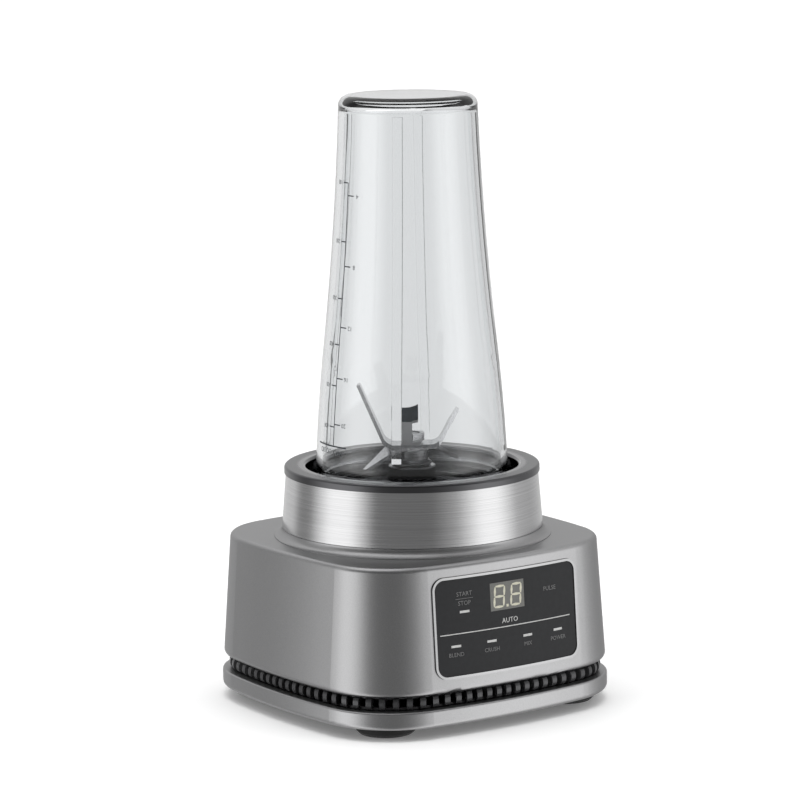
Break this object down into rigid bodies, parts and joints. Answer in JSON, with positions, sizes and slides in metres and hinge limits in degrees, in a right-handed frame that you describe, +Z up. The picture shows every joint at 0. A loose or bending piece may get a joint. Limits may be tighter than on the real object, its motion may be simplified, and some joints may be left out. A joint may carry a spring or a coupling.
{
  "type": "countertop blender",
  "caption": "Personal countertop blender with a clear cup standing mouth down on a motor base, touch panel and bayonet collar.",
  "frame": {"origin": "centre of the footprint on the table, under the motor axis", "axes": "+Z up along the motor axis, the control panel faces -Y"},
  "size_m": [0.1616, 0.1588, 0.29],
  "materials": {
    "base_tray": "fine matt black",
    "blade_base": "fine matt black",
    "blade_bearing": "plain",
    "blade_nut": "brushed",
    "blade_shaft": "brushed",
    "blade_spacer": "brushed",
    "brush_holders": "plain",
    "brush_springs": "brushed",
    "cable_gland": "fine matt black",
    "carbon_brushes": "fine matt black",
    "center_blade": "brushed",
    "collar_sleeve": "brushed",
    "commutator": "enamelled copper",
    "control_board": "green board",
    "cooling_fan": "fine matt black",
    "cup": "clear moulded plastic",
    "cup_gasket": "matt",
    "cup_well": "dark gray satin",
    "display_module": "dark gray satin",
    "drive_coupling": "fine matt black",
    "driven_coupling": "fine matt black",
    "fan_shroud": "fine matt black",
    "field_coils": "enamelled copper",
    "housing_screws": "brushed",
    "interlock_plunger": "fine matt black",
    "light_guides": "white",
    "lower_bearing": "brushed",
    "lower_blade": "brushed",
    "main_housing": "satin metallic silver",
    "motor_lower_bracket": "die cast",
    "motor_mounts": "matt",
    "motor_screws": "brushed",
    "motor_shaft": "brushed",
    "motor_upper_bracket": "die cast",
    "panel_bezel": "bright",
    "panel_carrier": "fine matt black",
    "panel_lens": "gloss black",
    "plunger_spring": "brushed",
    "power_components": "dark gray satin",
    "rotor_core": "laminated electrical steel",
    "rotor_windings": "enamelled copper",
    "rubber_feet": "matt",
    "safety_switch": "fine matt black",
    "shaft_seal": "matt",
    "skirt_band": "satin metallic silver",
    "stator_core": "laminated electrical steel",
    "touch_board": "green board",
    "upper_bearing": "brushed",
    "upper_blade": "brushed",
    "vent_grille": "fine matt black",
    "well_seal": "matt"
  },
  "bodies": {
    "base": {"base_tray": "base_tray", "brush_holders": "brush_holders", "brush_springs": "brush_springs", "cable_gland": "cable_gland", "carbon_brushes": "carbon_brushes", "collar_sleeve": "collar_sleeve", "control_board": "control_board", "cup_well": "cup_well", "display_module": "display_module", "fan_shroud": "fan_shroud", "field_coils": "field_coils", "housing_screws": "housing_screws", "light_guides": "light_guides", "lower_bearing": "lower_bearing", "main_housing": "main_housing", "motor_lower_bracket": "motor_lower_bracket", "motor_mounts": "motor_mounts", "motor_screws": "motor_screws", "motor_upper_bracket": "motor_upper_bracket", "panel_bezel": "panel_bezel", "panel_carrier": "panel_carrier", "panel_lens": "panel_lens", "plunger_spring": "plunger_spring", "power_components": "power_components", "rubber_feet": "rubber_feet", "safety_switch": "safety_switch", "skirt_band": "skirt_band", "stator_core": "stator_core", "touch_board": "touch_board", "upper_bearing": "upper_bearing", "vent_grille": "vent_grille", "well_seal": "well_seal"},
    "rotor": {"motor_shaft": "motor_shaft", "rotor_core": "rotor_core", "rotor_windings": "rotor_windings", "commutator": "commutator", "cooling_fan": "cooling_fan", "drive_coupling": "drive_coupling"},
    "plunger": {"interlock_plunger": "interlock_plunger"},
    "carrier": {"blade_bearing": "blade_bearing"},
    "cap": {"blade_base": "blade_base", "shaft_seal": "shaft_seal"},
    "seal_ring": {"cup_gasket": "cup_gasket"},
    "cup": {"cup": "cup"},
    "blades": {"blade_shaft": "blade_shaft", "blade_spacer": "blade_spacer", "lower_blade": "lower_blade", "upper_blade": "upper_blade", "center_blade": "center_blade", "blade_nut": "blade_nut", "driven_coupling": "driven_coupling"}
  },
  "joints": [
    {"name": "motor_spin", "type": "hinge", "parent": "base", "child": "rotor", "pos_m": [0, 0, 0.06], "axis": [0, 0, 1], "continuous": true},
    {"name": "cup_lift", "type": "slide", "parent": "base", "child": "carrier", "axis": [0, 0, 1], "range_m": [0, 0.06]},
    {"name": "cup_twist", "type": "hinge", "parent": "carrier", "child": "cap", "pos_m": [0, 0, 0.1], "axis": [0, 0, 1], "range_deg": [-22, 0]},
    {"name": "cup_unscrew", "type": "hinge", "parent": "cap", "child": "seal_ring", "pos_m": [0, 0, 0.1], "axis": [0, 0, 1], "range_deg": [0, 450]},
    {"name": "cup_rise", "type": "slide", "parent": "seal_ring", "child": "cup", "axis": [0, 0, 1], "range_m": [0, 0.0057]},
    {"name": "blade_spin", "type": "hinge", "parent": "carrier", "child": "blades", "pos_m": [0, 0, 0.12], "axis": [0, 0, 1], "continuous": true},
    {"name": "interlock_press", "type": "slide", "parent": "base", "child": "plunger", "axis": [0, 0, -1], "range_m": [0, 0.0025], "stiffness_N_per_m": 100, "deforming": ["plunger_spring"]}
  ],
  "couplings": [
    {"joint": "blade_spin", "follows": "motor_spin", "ratio": 1},
    {"joint": "cup_rise", "follows": "cup_unscrew", "m_per_rad": 0.0007162},
    {"joint": "interlock_press", "follows": "cup_twist", "m_per_rad": -0.00651}
  ]
}
